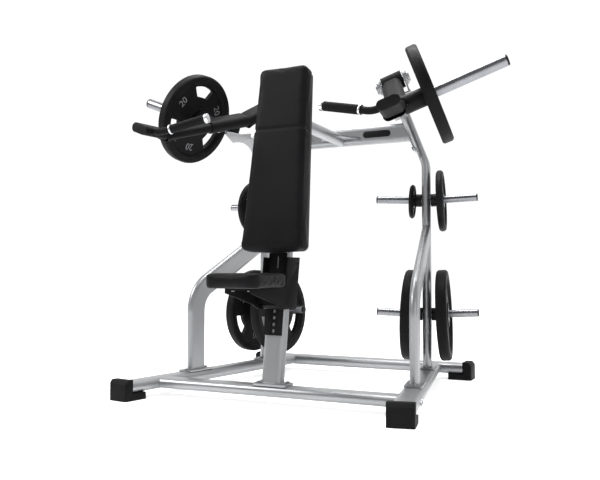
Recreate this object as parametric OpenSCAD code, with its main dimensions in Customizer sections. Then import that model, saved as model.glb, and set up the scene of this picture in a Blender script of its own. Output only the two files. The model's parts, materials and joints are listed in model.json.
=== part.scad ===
// Plate-loaded seated press: two independent arms converge overhead on inclined pivots.
// Origin: floor level, middle of the outline. +X to the right, +Y to the rear, +Z up.
// Modules measure y from the front faces of the front feet; placed() moves them to the origin.

/* [Base] */
// Half distance between the front feet, to their centres
foot_x = 634; // [600:1:670]
// Angle between each side frame and the centre plane
splay = 9.8; // [8:0.1:11]
// Width of the flat-oval base tube
rail_w = 100; // [90:1:110]
// Height of the flat-oval base tube
rail_t = 50; // [44:1:56]
// Height of the base tube above the floor
rail_z = 30; // [26:1:36]
// Wall of every frame tube
wall = 3; // [2:0.5:4]
// Distance of the front crossbar behind the feet
front_y = 238; // [210:1:260]
// Distance of the rear crossbar behind the front feet
rear_y = 1283; // [1230:1:1340]
// Half length of the rear crossbar with its feet
rear_half = 630; // [590:1:670]
// Length of a rubber foot along its tube
foot_len = 121; // [100:1:130]
// Length of a foot's cap round the tube end
cap_len = 46; // [38:1:60]
// Height of a rubber foot
foot_h = 90; // [86:1:100]

/* [Side frame] */
// Wide side of the brace tube
brace_w = 104; // [90:1:115]
// Narrow side of the brace tube
brace_t = 38; // [34:1:38]
// Distance of the brace foot along the rail
brace_y = 489; // [450:1:520]
// Height where the brace's two straight runs would meet
brace_corner = 456; // [430:1:480]
// Slope of the upper run of the brace above the floor
brace_slope = 28; // [25:1:31]
// Radius of the brace bend on its centre line
brace_r = 150; // [120:1:180]
// Wide side of the upright tube
up_w = 90; // [80:1:100]
// Narrow side of the upright tube
up_t = 40; // [39:1:44]
// From the uprights back to the rear crossbar
up_back = 227; // [200:1:250]
// Height where the upright starts to lean inward
bend_z = 1100; // [1060:1:1140]
// Inward lean of the upright's top, and tilt of the arm pivot
lean_a = 21; // [18:0.5:24]
// Height of the arm pivot
pivot_z = 1530; // [1490:1:1570]
// Radius of the upright bend on its centre line
up_r = 120; // [100:1:150]

/* [Centre] */
// Wide side of the seat post
post_w = 100; // [90:1:110]
// Depth of the seat post
post_t = 60; // [54:1:66]
// Backward tilt of the seat post and back pad
post_tilt = 8.6; // [7:0.2:10]
// Length of the seat post
post_len = 1262; // [1230:1:1290]
// Height of the top beam
beam_z = 1271; // [1250:1:1290]
// Depth of the top beam's tube, upright
beam_h = 98; // [90:1:106]
// Thickness of the top beam and the pad boom
beam_t = 50; // [46:1:56]
// Drop of the pad boom below the top beam's centre
boom_drop = 18; // [14:1:20]
// Height of the boom tube
boom_h = 60; // [50:1:64]

/* [Arms] */
// Width of the arm's rear tube along the pivot
arm_w = 104; // [96:1:106]
// Thickness of the arm's rear tube
arm_t = 60; // [54:1:64]
// Width of the arm's front tube along the pivot
front_w = 96; // [84:1:98]
// Thickness of the arm's front tube
front_t = 44; // [40:1:48]
// Forward reach of the rear tube's bend
bend1_f = 310; // [290:1:330]
// Drop of the rear tube's bend
bend1_d = 192; // [180:1:205]
// Slope of the arm between its two bends
arm_slope = 17.5; // [15:0.5:20]
// Forward reach of the front tube's bend
bend2_f = 830; // [810:1:850]
// Forward reach of the arm's front end
arm_reach = 985; // [965:1:1005]
// Forward reach of the load peg
horn_f = 514; // [490:1:530]
// Drop of the load peg
horn_d = 268; // [262:1:274]
// Load peg diameter
horn_dia = 50; // [48:0.5:50]
// Length of the load peg from the arm's centre plane
horn_len = 489; // [460:1:520]
// Pivot shaft diameter
shaft_d = 30; // [25:1:32]

/* [Handles] */
// Handle tube diameter
handle_d = 30; // [28:1:34]
// Rubber grip diameter
grip_d = 39; // [36:1:42]
// Length of the rubber grip
grip_len = 166; // [150:1:180]
// Inward rise of the grip
grip_rise = 12.3; // [8:0.5:15]
// Rearward turn of the grip from the side frame's normal
grip_turn = 18; // [14:0.5:22]

/* [Weight plates] */
// Diameter of a 20 kg plate
disc_d = 450; // [440:1:450]
// Rim thickness of a 20 kg plate
disc_t = 52; // [44:1:56]
// Diameter of a 10 kg plate
mid_d = 307; // [290:1:325]
// Thickness of a 10 kg plate
mid_t = 32; // [28:1:36]
// Diameter of the smallest plate
small_d = 172; // [160:1:190]
// Thickness of the smallest plate
small_t = 22; // [18:1:26]
// Play between a disc bore and the horn it hangs on
bore_play = 0.6; // [0.6:0.1:1]
// Storage peg diameter
peg_d = 38; // [34:1:42]
// Reach of a storage peg from the upright's centre
peg_len = 246; // [230:1:260]
// Height of the upper storage pegs
peg_z2 = 917; // [890:1:940]
// Height of the lower storage pegs
peg_z1 = 346; // [330:1:370]
// Upward tilt of the storage pegs
peg_tilt = 2.5; // [1:0.5:4]

/* [Upholstery] */
// Back pad width at the bottom
pad_w0 = 305; // [280:1:325]
// Back pad width at the top
pad_w1 = 245; // [220:1:260]
// Back pad length
pad_len = 840; // [800:1:870]
// Back pad thickness
pad_t = 72; // [60:1:80]
// Distance of the back pad's lower edge up the post
pad_z0 = 556; // [550:1:590]
// Seat width at the front
seat_w = 240; // [220:1:260]
// Seat length
seat_len = 330; // [300:1:350]
// Seat cushion thickness
seat_t = 50; // [40:1:56]
// Height of the top of the seat
seat_z = 556; // [550:1:566]
// Distance of the seat's front edge behind the front feet, negative in front of them
seat_y = -135; // [-150:1:-120]
// Spacing of the seat adjustment holes
hole_pitch = 28.3; // [26:0.1:30]

/* [Hidden] */
up_y = rear_y - up_back;
bore_d = horn_dia + bore_play;
$fn = 48;
gap = 0.3;                  // space between bodies that move on each other
run_gap = 0.05;             // radial running clearance of a shaft
plate_t = 8;                // steel plate thickness
rail_top = rail_z + rail_t;
base_z = rail_top + plate_t;
bar_step = 2;               // half the size step between a tube and the one it is coped to
rear_bar_w = rail_w + 2 * bar_step;
rear_bar_t = rail_t + 2 * bar_step;
front_bar_w = rail_w - 2 * bar_step;
front_bar_t = rail_t - 2 * bar_step;
foot_rim = 3;               // rubber around the tube inside a foot
foot_nose = 16;             // drop of the sloped front edge of a foot
centre_y = (seat_y + rear_y + rear_bar_w / 2 + foot_rim) / 2;
front_half = foot_x - front_y * tan(splay);  // centre plane to the rail at the front crossbar
weld = 0.02;                // seam between two runs of one bent tube
bolt_d = 10;
head_d = 18;
head_h = 7;
brace_turn = 90 - brace_slope;
brace_tan = brace_r * tan(brace_turn / 2);
brace_run = (up_y - 10 - brace_y) / cos(brace_slope) - brace_tan;  // ends inside the upright
up_tan = up_r * tan(lean_a / 2);
pivot_x = -(pivot_z - bend_z) * tan(lean_a);
lean_len = (pivot_z - bend_z) / cos(lean_a) - up_tan;  // pivot down to the end of the bend
clevis_z = 85;              // pivot to the clevis base plate
ear_x = 62;                 // pivot centre to the middle of an ear
ear_y = 50;                 // half depth of an ear
hub_r = 45;
hub_len = 108;
house_len = 24;             // bearing housing length
shaft_len = 2 * (ear_x + plate_t / 2 + house_len) - 6;
bend1_a = atan(bend1_d / bend1_f);
bend2_d = bend1_d + (bend2_f - bend1_f) * tan(arm_slope);
bend1_r = 220;
bend2_r = 150;
close_t = 5;                // plate that closes the arm's rear tube
rear_end = 575;             // forward reach of the arm's rear tube
arm_off = -10;              // arm centre line to the middle of the clevis
disc_x = 118;               // inner face of the arm's plate
neck_len = 4;               // relief groove round a load peg, outside the arm's plate
horn_step = 1;              // depth of the groove, and of the end cap's step
peg_x0 = disc_x + disc_t + 2 + neck_len; // start of a load peg's open length
collar_x = 58;              // face of a storage collar from the upright's centre
hang = bore_d / 2 - peg_d / 2 - gap;
track_t = 8;
track_w = 84;
track_z0 = 206;
track_z1 = 562;
track_hole0 = 223.5;
hole_n = 8;
pin_hole = 5;               // index of the hole that the pin sits in
pin_z = track_hole0 + pin_hole * hole_pitch;
pin_d = 16;
board_t = 18;
seat_board_t = 12;
side_x = 54;                // inner face of a carriage side plate
side_t = 6;
roller_r = 16;
roller_w = 78;
axle_d = 10;
roller_hi = 528;
roller_lo = 362;
grip_at = [-162, 141, 1188]; // outer end of the grip in the side frame
ring_len = 8;
stub_len = 24;              // handle tube between the grip and its bend
handle_r = 110;
handle_bend = 26;
stop_f = 392;               // forward reach of the arm stop
stop_arm = bend1_d + (stop_f - bend1_f) * tan(arm_slope) + arm_t / 2 / cos(arm_slope);
stop_h = 22;

// ---------- Shared shapes and frames ----------

// Flat-oval section, w along x and t along y
module oval(w, t) {
  square([w - t, t], center = true);
  for (s = [-1, 1]) translate([s * (w - t) / 2, 0]) circle(d = t);
}

module oval_ring(w, t) difference() {
  oval(w, t);
  oval(w - 2 * wall, t - 2 * wall);
}

// Straight flat-oval tube along z, hollow or solid
module tube(w, t, len, solid = false) linear_extrude(len) {
  if (solid) oval(w, t);
  else oval_ring(w, t);
}

// Bend that leaves along +z and turns towards +x, with width w along y
module bend_flat(w, t, r, a) translate([r, 0, 0]) rotate([90, 0, 180])
  rotate_extrude(angle = a) translate([r, 0]) rotate(90) oval_ring(w, t);

// Bend that leaves along +z and turns towards +x, with width w in the plane of the bend
module bend_tall(w, t, r, a) translate([r, 0, 0]) rotate([90, 0, 180])
  rotate_extrude(angle = a) translate([r, 0]) oval_ring(w, t);

// Side frame: x outward, y along the rail to the rear
module side() translate([foot_x, 0, 0]) rotate(splay) children();
module left() mirror([1, 0, 0]) children();
module both() {
  side() children();
  left() side() children();
}

// Pivot frame inside the side frame: x along the pivot axis, z along the leaning upright
module pivot() translate([pivot_x, up_y, pivot_z]) rotate([0, -lean_a, 0]) children();

// Post frame: z up the tilted seat post, y to the rear
module post() translate([0, front_y, rail_top]) rotate([-post_tilt, 0, 0]) children();

// Frames of the storage pegs inside and outside the upright: x along the peg
module peg_in(z) translate([0, up_y, z]) mirror([1, 0, 0]) rotate([0, -peg_tilt, 0]) children();
module peg_out(z) translate([0, up_y, z]) rotate([0, -peg_tilt, 0]) children();

module bar_x(d, len) rotate([0, 90, 0]) cylinder(d = d, h = len);
module ring_x(d, bore, len) difference() {
  bar_x(d, len);
  translate([-1, 0, 0]) bar_x(bore, len + 2);
}

// Box with rounded vertical edges, centred in x and y
module slab(x, y, z, r) linear_extrude(z) {
  square([x - 2 * r, y], center = true);
  square([x, y - 2 * r], center = true);
  for (i = [-1, 1], j = [-1, 1]) translate([i * (x / 2 - r), j * (y / 2 - r)]) circle(r = r);
}

// Hex bolt along -z with its head on z = 0
module bolt(len) {
  cylinder(d = head_d, h = head_h, $fn = 6);
  translate([0, 0, -len]) cylinder(d = bolt_d, h = len);
}
module bolt_hole(len) translate([0, 0, -len]) cylinder(d = bolt_d + 2 * gap, h = len + 1);

// ---------- Base ----------

module rail_solid() translate([0, plate_t, rail_z + rail_t / 2]) rotate([-90, 0, 0])
  tube(rail_w, rail_t, rear_y, solid = true);

module rear_bar(solid) translate([-rear_half + plate_t, rear_y, rail_z + rail_t / 2])
  rotate([0, 90, 0]) rotate(90) tube(rear_bar_w, rear_bar_t, 2 * (rear_half - plate_t), solid);

module rail() difference() {
  side() difference() {
    translate([0, plate_t, rail_z + rail_t / 2]) rotate([-90, 0, 0])
      tube(rail_w, rail_t, rear_y / cos(splay) - plate_t);
    crossbar_bolts() bolt_hole(80);
    side_base_bolts() bolt_hole(30);
  }
  rear_bar(true);
}

module front_bar() difference() {
  translate([-front_half, front_y, rail_z + rail_t / 2]) rotate([0, 90, 0]) rotate(90)
    tube(front_bar_w, front_bar_t, 2 * front_half);
  both() rail_solid();
  post() post_bolts() bolt_hole(40);
  for (s = [0, 1]) mirror([s, 0, 0]) side() crossbar_bolts() bolt_hole(90);
}

// Rubber cap foot at y = 0, running back along its tube
module foot(w, t) difference() {
  union() {
    translate([0, cap_len / 2, 0]) slab(w + 2 * foot_rim, cap_len, foot_h, 8);
    translate([0, foot_len / 2, 0]) slab(w + 2 * foot_rim, foot_len, rail_z, 8);
  }
  translate([0, plate_t, rail_z + rail_t / 2]) rotate([-90, 0, 0])
    tube(w, t, foot_len, solid = true);
  translate([-foot_x, 0, foot_h - foot_nose]) rotate([45, 0, 0]) cube([2 * foot_x, 60, 40]);
}

// ---------- Side frames ----------

module upright_run(solid) translate([0, up_y, base_z]) rotate(90)
  tube(up_w, up_t, bend_z - up_tan - weld - base_z, solid);

module upright() difference() {
  union() {
    upright_run(false);
    translate([0, up_y, bend_z - up_tan]) mirror([1, 0, 0]) bend_flat(up_w, up_t, up_r, lean_a);
    pivot() translate([0, 0, -lean_len + weld]) rotate(90)
      tube(up_w, up_t, lean_len - weld - clevis_z - plate_t);
  }
  pivot() beam_bolts() rotate([0, -90, 0]) bolt_hole(up_t + 20);
}

module brace() difference() {
  union() {
    translate([0, brace_y, base_z]) rotate(90)
      tube(brace_w, brace_t, brace_corner - brace_tan - weld - base_z);
    translate([0, brace_y, brace_corner - brace_tan]) rotate(90)
      bend_tall(brace_w, brace_t, brace_r, brace_turn);
    translate([0, brace_y, brace_corner]) rotate([-brace_turn, 0, 0])
      translate([0, 0, brace_tan + weld]) rotate(90) tube(brace_w, brace_t, brace_run);
  }
  upright_run(true);
}

// Welded plates under the braces, the uprights and the seat post
module side_base_plate(y, len) translate([0, y, rail_top]) difference() {
  slab(78, len, plate_t, 10);
  for (s = [-1, 1]) translate([0, s * (len / 2 - 14), plate_t]) bolt_hole(plate_t + 1);
}

brace_plate = brace_w + 60;
up_plate = up_w + 60;

module side_base_bolts() {
  for (s = [-1, 1]) {
    translate([0, brace_y + s * (brace_plate / 2 - 14), base_z]) children();
    translate([0, up_y + s * (up_plate / 2 - 14), base_z]) children();
  }
}

// Place of the front crossbar along the rail
front_s = front_y / cos(splay) - rail_w / 2 * tan(splay);

module crossbar_bolts() for (s = [-1, 1])
  translate([rail_w / 2 - 1, front_s + s * 19, rail_z + rail_t / 2])
    rotate([0, 90, 0]) children();

module post_bolts() for (i = [-1, 1], j = [-1, 1])
  rotate([post_tilt, 0, 0]) translate([i * 62, j * 18, plate_t]) children();

module post_plate() translate([0, front_y, rail_top]) difference() {
  translate([0, 0, -bar_step]) slab(160, 84, plate_t + bar_step, 12);
  rotate([-post_tilt, 0, 0]) post_bolts() bolt_hole(plate_t + bar_step + 1);
}

// ---------- Centre ----------

module post_solid() post() tube(post_w, post_t, post_len, solid = true);

module seat_post() difference() {
  post() tube(post_w, post_t, post_len);
  translate([-100, 0, 0]) cube([200, 2 * front_y, base_z]);
}

module seat_track() post() difference() {
  translate([-track_w / 2, -post_t / 2 - track_t, track_z0])
    cube([track_w, track_t, track_z1 - track_z0]);
  for (i = [0 : hole_n - 1]) translate([0, -post_t / 2 + 1, track_hole0 + i * hole_pitch])
    rotate([90, 0, 0]) cylinder(d = pin_d + 1.4, h = track_t + 2);
  translate([0, -post_t / 2 + 1, 0]) rotate([90, 0, 0]) linear_extrude(track_t + 2)
    translate([0, 521]) rotate(90) oval(56, 12);
}

// Inner face of the leaning upright, where the top beam is bolted on
beam_drop = (pivot_z - beam_z) / cos(lean_a) + 14;

module beam_bolts() for (i = [-1, 1], j = [-1, 1])
  translate([-up_t / 2 - plate_t, i * 15, -beam_drop + j * 68]) children();

module beam_flange() pivot() difference() {
  translate([-up_t / 2 - plate_t, 0, -beam_drop]) rotate([0, 90, 0]) slab(170, 84, plate_t, 10);
  beam_bolts() rotate([0, -90, 0]) bolt_hole(plate_t + 1);
}

// Everything outboard of the flange's inner face
module beam_trim() side() pivot() translate([-up_t / 2 - plate_t, -400, -900])
  cube([900, 800, 1400]);

// The beam lies in the plane that the two leaning uprights reach at its height
beam_y = up_y * cos(splay) - (beam_z - bend_z) * tan(lean_a) * sin(splay);

module top_beam() difference() {
  translate([-480, beam_y, beam_z]) rotate([0, 90, 0]) tube(beam_h, beam_t, 960);
  beam_trim();
  mirror([1, 0, 0]) beam_trim();
}

module beam_solid() translate([-400, beam_y, beam_z]) rotate([0, 90, 0])
  tube(beam_h, beam_t, 800, solid = true);

// Centre line of the seat post at the boom's height
boom_y = front_y + (beam_z - boom_drop - rail_top) * tan(post_tilt);

module pad_boom() difference() {
  union() {
    translate([0, boom_y, beam_z - boom_drop]) rotate([-90, 0, 0]) rotate(90)
      tube(boom_h, beam_t, beam_y - boom_y);
    for (s = [0, 1]) mirror([s, 0, 0])
      translate([beam_t / 2 - 1, beam_y - beam_t / 2, beam_z - boom_drop])
        linear_extrude(plate_t) polygon([[0, 0], [90, 0], [0, -150]]);
  }
  post_solid();
  beam_solid();
}

module badge_plate() translate([204, beam_y - beam_t / 2, beam_z]) rotate([90, 0, 0])
  linear_extrude(2) oval(150, 34);

module taper(w0, w1, len, r) {
  polygon([[-w0 / 2 + r, 0], [w0 / 2 - r, 0], [w0 / 2, r], [w1 / 2, len - r], [w1 / 2 - r, len],
           [-w1 / 2 + r, len], [-w1 / 2, len - r], [-w0 / 2, r]]);
  for (s = [-1, 1]) {
    translate([s * (w0 / 2 - r), r]) circle(r = r);
    translate([s * (w1 / 2 - r), len - r]) circle(r = r);
  }
}

module back_pad_board() post() translate([0, -post_t / 2, pad_z0 + 12]) rotate([90, 0, 0])
  linear_extrude(board_t) taper(pad_w0 - 24, pad_w1 - 24, pad_len - 24, 24);

module back_pad() post() translate([0, -post_t / 2 - board_t, pad_z0]) rotate([90, 0, 0])
  linear_extrude(pad_t) taper(pad_w0, pad_w1, pad_len, 30);

// ---------- Arm pivots ----------

module ear() rotate([90, 0, 90]) linear_extrude(plate_t) difference() {
  union() {
    translate([-ear_y, -clevis_z]) square([2 * ear_y, clevis_z]);
    circle(r = ear_y);
  }
  circle(d = shaft_d + 8);
}

module pivot_bracket() pivot() {
  translate([0, 0, -clevis_z - plate_t]) slab(2 * (ear_x + plate_t), 2 * ear_y + 10, plate_t, 6);
  for (s = [-1, 1]) translate([s * ear_x - plate_t / 2, 0, 0]) ear();
}

module bearing_housing() pivot() for (s = [0, 1]) mirror([s, 0, 0])
  translate([ear_x + plate_t / 2, 0, 0]) difference() {
    union() {
      bar_x(76, 9);
      bar_x(54, house_len);
      for (i = [0 : 3]) rotate([45 + 90 * i, 0, 0]) translate([9, 0, 31])
        rotate([0, 90, 0]) cylinder(d = 11, h = 5, $fn = 6);
    }
    translate([-1, 0, 0]) bar_x(shaft_d + 2 * run_gap, house_len - 2);
  }

// Gusset that carries the arm's rest stop, in the plane of the side frame
module stop_bracket() pivot() translate([arm_off, 0, 0]) difference() {
  rotate([90, 0, -90]) translate([0, 0, -plate_t / 2]) linear_extrude(plate_t) difference() {
    polygon([[up_w / 2 - 20, -210], [stop_f - 60, -stop_arm - stop_h - 6],
             [stop_f + 40, -stop_arm - stop_h - 6], [stop_f + 46, -stop_arm - stop_h - 20],
             [stop_f - 30, -stop_arm - stop_h - 56], [up_w / 2 - 20, -430]]);
    translate([stop_f - 90, -stop_arm - 236]) circle(r = 170, $fn = 96);
    for (f = [150, 230]) translate([f, -262]) circle(r = 17);
  }
  translate([-arm_off, 0, -600]) rotate(90) tube(up_w, up_t, 600, solid = true);
}

module stop_shelf() pivot() translate([arm_off, -stop_f, -stop_arm - stop_h - 6])
  slab(64, 84, 6, 10);

// Rubber block cut parallel to the underside of the resting arm, just clear of it
module stop_bumper() pivot() translate([arm_off, -stop_f, -stop_arm]) difference() {
  translate([0, 0, -stop_h]) slab(50, 60, 2 * stop_h, 10);
  rotate([arm_slope, 0, 0]) translate([-50, -100, -gap]) cube([100, 200, 100]);
}

// ---------- Storage ----------

module all_pegs() for (z = [peg_z1, peg_z2]) {
  peg_out(z) children();
  peg_in(z) children();
}

module storage_pegs_side() difference() {
  all_pegs() translate([4, 0, 0]) bar_x(peg_d, peg_len - 4);
  upright_run(true);
}

module storage_fittings_side() all_pegs() {
  translate([up_t / 2 + 3, 0, 0]) ring_x(64, peg_d + 2 * run_gap, collar_x - up_t / 2 - 3);
  translate([peg_len, 0, 0]) bar_x(peg_d - 2, 6);
}

// ---------- Weight plates ----------

// One grip slot of a plate, as a sector between two radii
module grip_slot(t) intersection() {
  difference() {
    translate([0, 0, -1]) cylinder(r = 168, h = t + 2, $fn = 96);
    translate([0, 0, -2]) cylinder(r = 118, h = t + 4, $fn = 96);
  }
  translate([0, 0, -3]) linear_extrude(t + 6) polygon([[0, 0], [200, -80], [200, 80]]);
}

// Radius of a plate's raised hub
function hub_out(d) = bore_d / 2 + d * 0.07;

// Plate lying on z = 0 with its axis on z
module disc(d, t, slots) difference() {
  rotate_extrude($fn = 96) polygon([[bore_d / 2, t * 0.08], [hub_out(d), t * 0.08],
    [hub_out(d) + 4, t * 0.24], [d * 0.4, t * 0.24], [d * 0.42, 0], [d / 2 - 5, 0], [d / 2, 5],
    [d / 2, t - 5], [d / 2 - 5, t], [d * 0.42, t], [d * 0.4, t * 0.76],
    [hub_out(d) + 4, t * 0.76], [hub_out(d), t * 0.92], [bore_d / 2, t * 0.92]]);
  if (slots) for (i = [0 : 2]) rotate(120 * i) grip_slot(t);
}

module arm_disc() side() pivot() translate([disc_x, -horn_f, -horn_d]) rotate([0, 90, 0])
  rotate(180) disc(disc_d, disc_t, true);

module stored(d, t, slots) translate([collar_x + gap, 0, -hang]) rotate([0, 90, 0])
  rotate(180) disc(d, t, slots);

// ---------- Arms ----------

// Places children at the arm path's point with z along the path
module arm_at(f, d, slope) translate([0, -f, -d]) rotate([90 + slope, 0, 0]) children();

tan1 = bend1_r * tan((bend1_a - arm_slope) / 2);
tan2 = bend2_r * tan(arm_slope / 2);

module rear_tube() {
  arm_at(0, 0, bend1_a) tube(arm_w, arm_t, bend1_f / cos(bend1_a) - tan1 - weld);
  arm_at(bend1_f - tan1 * cos(bend1_a), bend1_d - tan1 * sin(bend1_a), bend1_a)
    rotate(-90) bend_flat(arm_w, arm_t, bend1_r, bend1_a - arm_slope);
  arm_at(bend1_f, bend1_d, arm_slope) translate([0, 0, tan1 + weld])
    tube(arm_w, arm_t, (rear_end - bend1_f) / cos(arm_slope) - tan1 - 2 * weld);
}

function path_d(f) = bend1_d + (f - bend1_f) * tan(arm_slope);

module front_tube() {
  arm_at(rear_end, path_d(rear_end), arm_slope) translate([0, 0, close_t])
    tube(front_w, front_t, (bend2_f - rear_end) / cos(arm_slope) - close_t - tan2 - weld);
  arm_at(bend2_f - tan2 * cos(arm_slope), bend2_d - tan2 * sin(arm_slope), arm_slope)
    rotate(-90) bend_flat(front_w, front_t, bend2_r, arm_slope);
  arm_at(bend2_f + tan2 + weld, bend2_d, 0)
    tube(front_w, front_t, arm_reach - bend2_f - tan2 - weld);
}

module arm() side() pivot() difference() {
  union() {
    translate([arm_off, 0, 0]) rear_tube();
    translate([arm_off, 0, 0]) front_tube();
    // Welded plate that closes the rear tube and carries the front tube
    translate([arm_off, 0, 0]) arm_at(rear_end, path_d(rear_end), arm_slope)
      tube(arm_w, arm_t, close_t - weld, solid = true);
    translate([-hub_len / 2, 0, 0]) bar_x(2 * hub_r, hub_len);
  }
  translate([-hub_len, 0, 0]) bar_x(shaft_d, 2 * hub_len);
  translate([arm_off - 20, -horn_f, -horn_d]) bar_x(horn_dia, 200);
  hub_trim();
}

// Keeps the rear tube between the ears where it joins the hub
module hub_trim() for (s = [-1, 1]) translate([s * (hub_len / 2 + 20), 0, 0])
  cube([40, 180, 180], center = true);

module arm_caps() side() pivot() translate([arm_off, 0, 0]) {
  arm_at(arm_reach, bend2_d, 0) tube(front_w, front_t, 5, solid = true);
  arm_at(rear_end, path_d(rear_end), arm_slope) translate([0, 0, close_t]) difference() {
    tube(arm_w, arm_t, 4, solid = true);
    translate([0, 0, -1]) tube(front_w, front_t, 6, solid = true);
  }
}

module pivot_shaft() side() pivot() translate([-shaft_len / 2, 0, 0]) bar_x(shaft_d, shaft_len);

module load_peg() side() pivot() translate([0, -horn_f, -horn_d]) {
  translate([arm_off - 20, 0, 0]) bar_x(horn_dia, peg_x0 - neck_len - arm_off + 20);
  translate([peg_x0 - neck_len - 1, 0, 0]) bar_x(horn_dia - 2 * horn_step, neck_len + 2);
  translate([peg_x0, 0, 0]) bar_x(horn_dia, horn_len - peg_x0);
}

module load_fittings() side() pivot() translate([0, -horn_f, -horn_d]) {
  difference() {
    translate([20, 0, 0]) ring_x(84, horn_dia + 2 * run_gap, disc_x - gap - 20);
    translate([arm_off, horn_f, horn_d]) arm_at(bend1_f, bend1_d, arm_slope)
      tube(arm_w + 2, arm_t + 2, 400, solid = true);
  }
  translate([horn_len, 0, 0]) bar_x(horn_dia - 2 * horn_step, 9);
}

// ---------- Handles ----------

// Grip frame: z along the grip, inward and slightly upward
module grip_frame() side() translate(grip_at) rotate(-grip_turn) rotate([0, -90 + grip_rise, 0])
  children();

module handle() difference() {
  grip_frame() {
    translate([0, 0, weld - stub_len])
      cylinder(d = handle_d, h = stub_len - weld + grip_len + 2 * ring_len);
    translate([0, 0, -stub_len]) rotate([180, 0, 0]) handle_bend_body();
  }
  arm_outline();
}

module handle_bend_body() {
  translate([handle_r, 0, 0]) rotate([90, 0, 180]) rotate_extrude(angle = handle_bend)
    translate([handle_r, 0]) circle(d = handle_d);
  translate([handle_r, 0, 0]) rotate([0, handle_bend, 0]) translate([-handle_r, 0, weld])
    cylinder(d = handle_d, h = 40);
}

// Solid outline of the arm's front tube, used to cope the handle
module arm_outline() side() pivot() translate([arm_off, 0, 0])
  arm_at(bend2_f, bend2_d, 0) tube(front_w, front_t, arm_reach - bend2_f, solid = true);

module grip() grip_frame() translate([0, 0, ring_len]) difference() {
  cylinder(d = grip_d, h = grip_len);
  translate([0, 0, -1]) cylinder(d = handle_d + 2 * run_gap, h = grip_len + 2);
}

module grip_rings() grip_frame() {
  difference() {
    cylinder(d = grip_d + 4, h = ring_len);
    translate([0, 0, -1]) cylinder(d = handle_d + 2 * run_gap, h = ring_len + 2);
  }
  translate([0, 0, ring_len + grip_len]) difference() {
    cylinder(d = grip_d + 2, h = 2 * ring_len);
    translate([0, 0, -1]) cylinder(d = handle_d + 2 * run_gap, h = ring_len + 1);
  }
}

// ---------- Seat ----------

seat_base = seat_z - seat_t - seat_board_t;

module carriage_side() rotate([90, 0, 90]) linear_extrude(side_t)
  polygon([[-60, seat_base], [-60, seat_base - 19], [150, seat_base - 70], [212, seat_base - 94],
           [342, seat_base - 94], [380, 622], [262, 622], [242, seat_base]]);

module seat_carriage() difference() {
  union() {
    for (s = [0, 1]) mirror([s, 0, 0]) translate([side_x, 0, 0]) carriage_side();
    translate([-side_x - 1, -60, seat_base - 8]) cube([2 * side_x + 2, 210, 8]);
    post() translate([-side_x - 1, -post_t / 2 - track_t - 50, pin_z - 28])
      cube([2 * side_x + 2, 8, 56]);
    post() translate([0, -post_t / 2 - track_t - 30, pin_z]) rotate([90, 0, 0])
      cylinder(d = 26, h = 34);
  }
  post() translate([0, -post_t / 2, pin_z]) rotate([90, 0, 0])
    cylinder(d = pin_d + 2 * run_gap, h = 200);
  roller_axes() translate([-100, 0, 0]) bar_x(axle_d + 2 * run_gap, 200);
  seat_bolt_spots() translate([0, 0, -20]) cylinder(d = 8 + 2 * gap, h = 30);
}

module roller_axes() {
  post() translate([0, post_t / 2 + roller_r + gap, roller_hi]) children();
  post() translate([0, -post_t / 2 - track_t - roller_r - gap, roller_lo - 30]) children();
}

module seat_bolt_spots() for (i = [-1, 1], y = [-36, 126])
  translate([i * 36, y, seat_base - 8]) children();

module seat_bolts() seat_bolt_spots() {
  translate([0, 0, -5]) cylinder(d = 15, h = 5, $fn = 6);
  translate([0, 0, -1]) cylinder(d = 8, h = 8 + 1 + seat_board_t - 2);
}

module seat_outline(inset) translate([0, seat_y + inset])
  taper(seat_w - 2 * inset, seat_w - 44 - 2 * inset, seat_len - 2 * inset, 28);

module seat_board() translate([0, 0, seat_base]) difference() {
  linear_extrude(seat_board_t) seat_outline(10);
  for (i = [-1, 1], y = [-36, 126]) translate([i * 36, y, -1])
    cylinder(d = 8 + 2 * gap, h = seat_board_t);
}

module seat_pad() translate([0, 0, seat_z - seat_t]) linear_extrude(seat_t) seat_outline(0);

module roller() {
  translate([-roller_w / 2, 0, 0]) bar_x(2 * roller_r, roller_w);
  translate([-side_x - side_t - 3, 0, 0]) bar_x(axle_d, 2 * (side_x + side_t + 3));
}

module rear_roller() post() translate([0, post_t / 2 + roller_r + gap, roller_hi]) roller();
module front_roller() post()
  translate([0, -post_t / 2 - track_t - roller_r - gap, roller_lo - 30]) roller();

module pull_pin() post() translate([0, -post_t / 2 - track_t - gap, pin_z]) rotate([90, 0, 0]) {
  cylinder(d = pin_d, h = 84);
  translate([0, 0, 80]) cylinder(d = 14, h = 8);
  translate([0, 0, 88]) cylinder(d = 32, h = 22);
}

// ---------- Fasteners ----------

module frame_bolts() {
  both() {
    side_base_bolts() bolt(plate_t + 10);
    crossbar_bolts() bolt(70);
    pivot() beam_bolts() rotate([0, -90, 0]) bolt(plate_t + 12);
  }
  post() post_bolts() bolt(plate_t + 10);
}

// ---------- Colours and placing ----------

module placed() translate([0, -centre_y, 0]) children();
module silver() color("#B9BCC0") placed() children();
module black() color("#1D1D1F") placed() children();
module steel() color("#8F9296") placed() children();

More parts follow.
